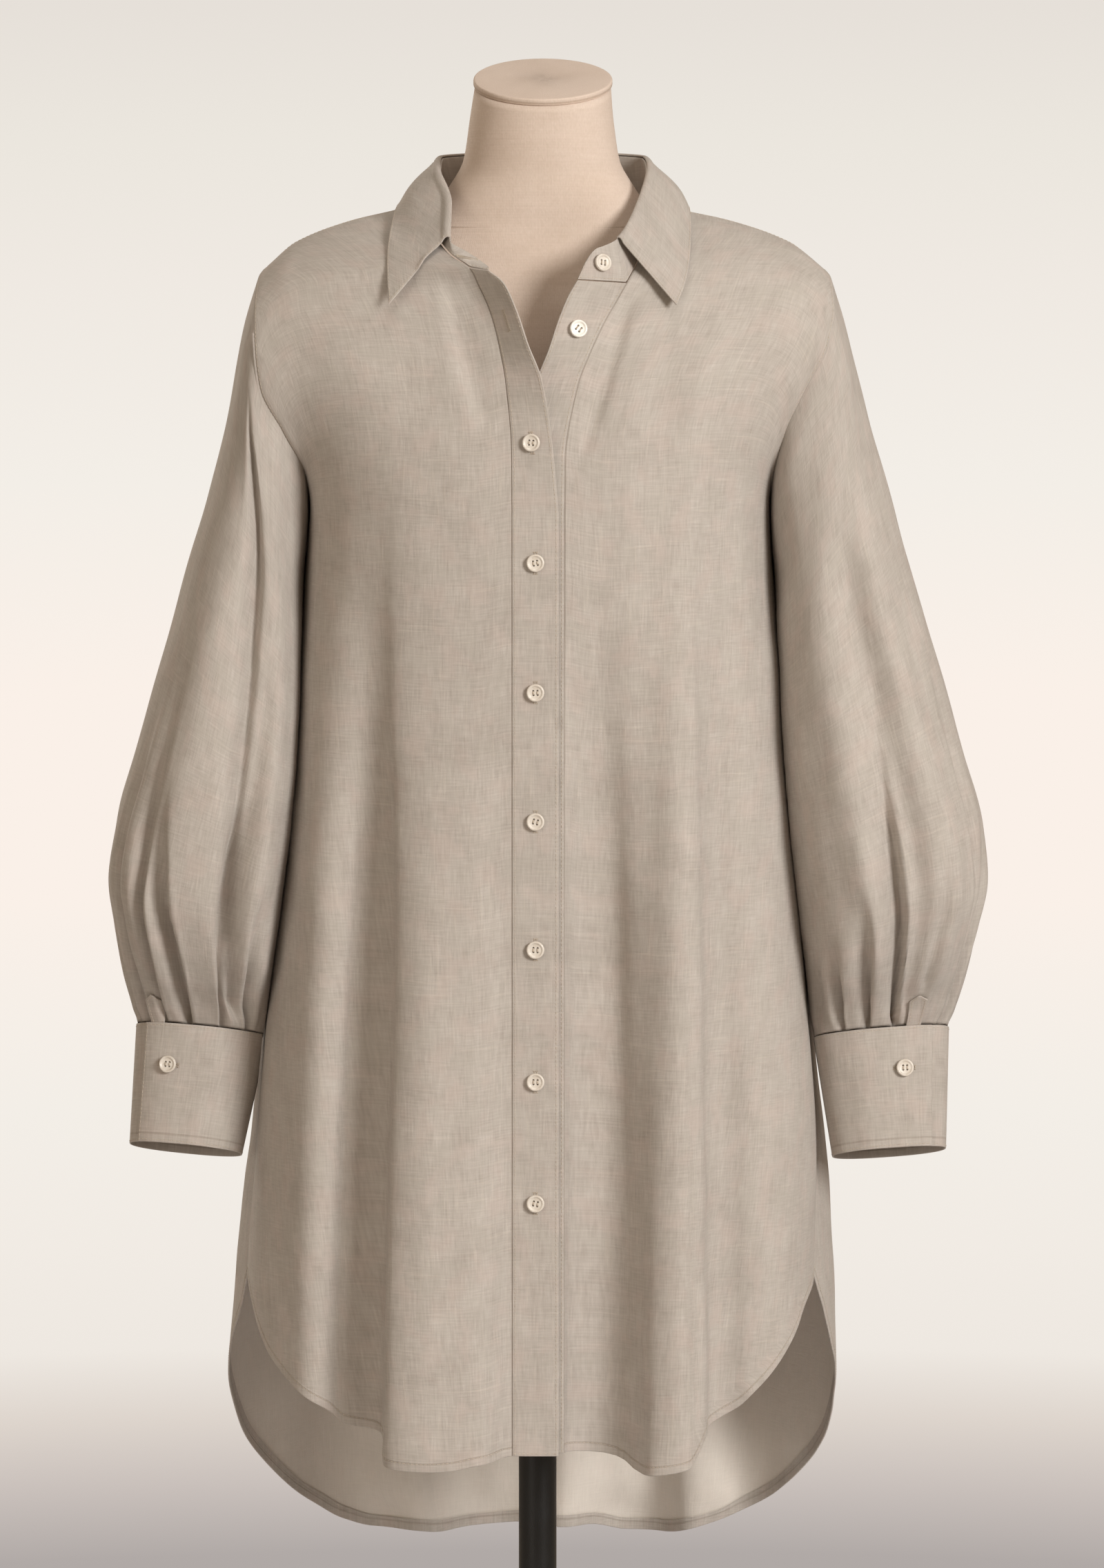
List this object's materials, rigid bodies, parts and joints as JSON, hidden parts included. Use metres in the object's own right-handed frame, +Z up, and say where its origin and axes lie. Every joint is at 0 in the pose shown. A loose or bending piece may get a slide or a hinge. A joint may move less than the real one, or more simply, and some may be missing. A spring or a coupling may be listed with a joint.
{
  "type": "shirt dress on a limbless dress form with a round stand",
  "caption": "Long-sleeved linen shirt dress with a pointed collar and a shirt-tail hem, buttoned on a limbless dress form with a pole and a round base.",
  "frame": {"origin": "middle of the underside of the stand's base, on the floor", "axes": "+Z up along the pole, -Y the way the dress faces, +X towards the wearer's left"},
  "size_m": [0.6309, 0.3832, 1.6227],
  "materials": {
    "linen": "matt plain-weave linen, greige",
    "buttons": "satin resin",
    "form_cover": "matt stretched jersey cover",
    "black_paint": "satin black paint"
  },
  "bodies": {
    "root": {"dress_back": "linen", "dress_front_right": "linen", "dress_front_left": "linen", "placket_right": "linen", "placket_left": "linen", "collar_stand": "linen", "collar_leaf": "linen", "sleeve_right": "linen", "sleeve_left": "linen", "sleeve_placket_right": "linen", "sleeve_placket_left": "linen", "cuff_right": "linen", "cuff_left": "linen", "button_stand": "buttons", "button_front_1": "buttons", "button_front_2": "buttons", "button_front_3": "buttons", "button_front_4": "buttons", "button_front_5": "buttons", "button_front_6": "buttons", "button_front_7": "buttons", "button_front_8": "buttons", "cuff_button_right": "buttons", "cuff_button_left": "buttons", "form_torso": "form_cover", "form_neck_cap": "form_cover", "stand_socket": "black_paint", "stand_pole": "black_paint", "stand_base": "black_paint"}
  },
  "joints": []
}
